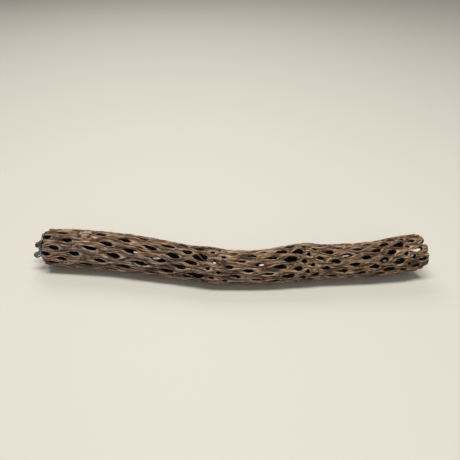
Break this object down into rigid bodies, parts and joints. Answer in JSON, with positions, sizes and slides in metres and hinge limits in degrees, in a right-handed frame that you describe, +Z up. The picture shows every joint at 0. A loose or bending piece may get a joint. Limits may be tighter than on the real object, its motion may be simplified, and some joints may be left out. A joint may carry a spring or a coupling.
{
  "type": "cholla cactus skeleton perch",
  "caption": "Hollow, pierced length of cholla cactus skeleton used as a perch, with a bolt, large washers and a wing nut at one end that grip a wire.",
  "frame": {"origin": "middle of the whole object's box, on the surface that it lies on", "axes": "+X along the log, from the bolted end to the open end; +Y away from the viewer; +Z up"},
  "size_m": [0.3942, 0.0632, 0.0395],
  "materials": {
    "cholla_wood": "weathered, matte, furrowed",
    "plug_wood": "turned, dark stained, matte",
    "zinc_steel": "zinc plated, dull"
  },
  "bodies": {
    "log": {"cholla_wood": "cholla_wood", "end_plug": "plug_wood", "bolt": "zinc_steel", "washer_inner": "zinc_steel"},
    "outer_washer": {"washer_outer": "zinc_steel"},
    "nut": {"wing_nut": "zinc_steel"}
  },
  "joints": [
    {"name": "clamp_travel", "type": "slide", "parent": "log", "child": "outer_washer", "axis": [-0.9965, 0.08, 0.0239], "range_m": [0, 0.003]},
    {"name": "nut_turn", "type": "hinge", "parent": "outer_washer", "child": "nut", "pos_m": [-0.18246, 0.0131, 0.02174], "axis": [-0.9965, 0.08, 0.0239], "range_deg": [0, 1080]}
  ],
  "couplings": [
    {"joint": "clamp_travel", "follows": "nut_turn", "m_per_rad": 0.000159}
  ]
}
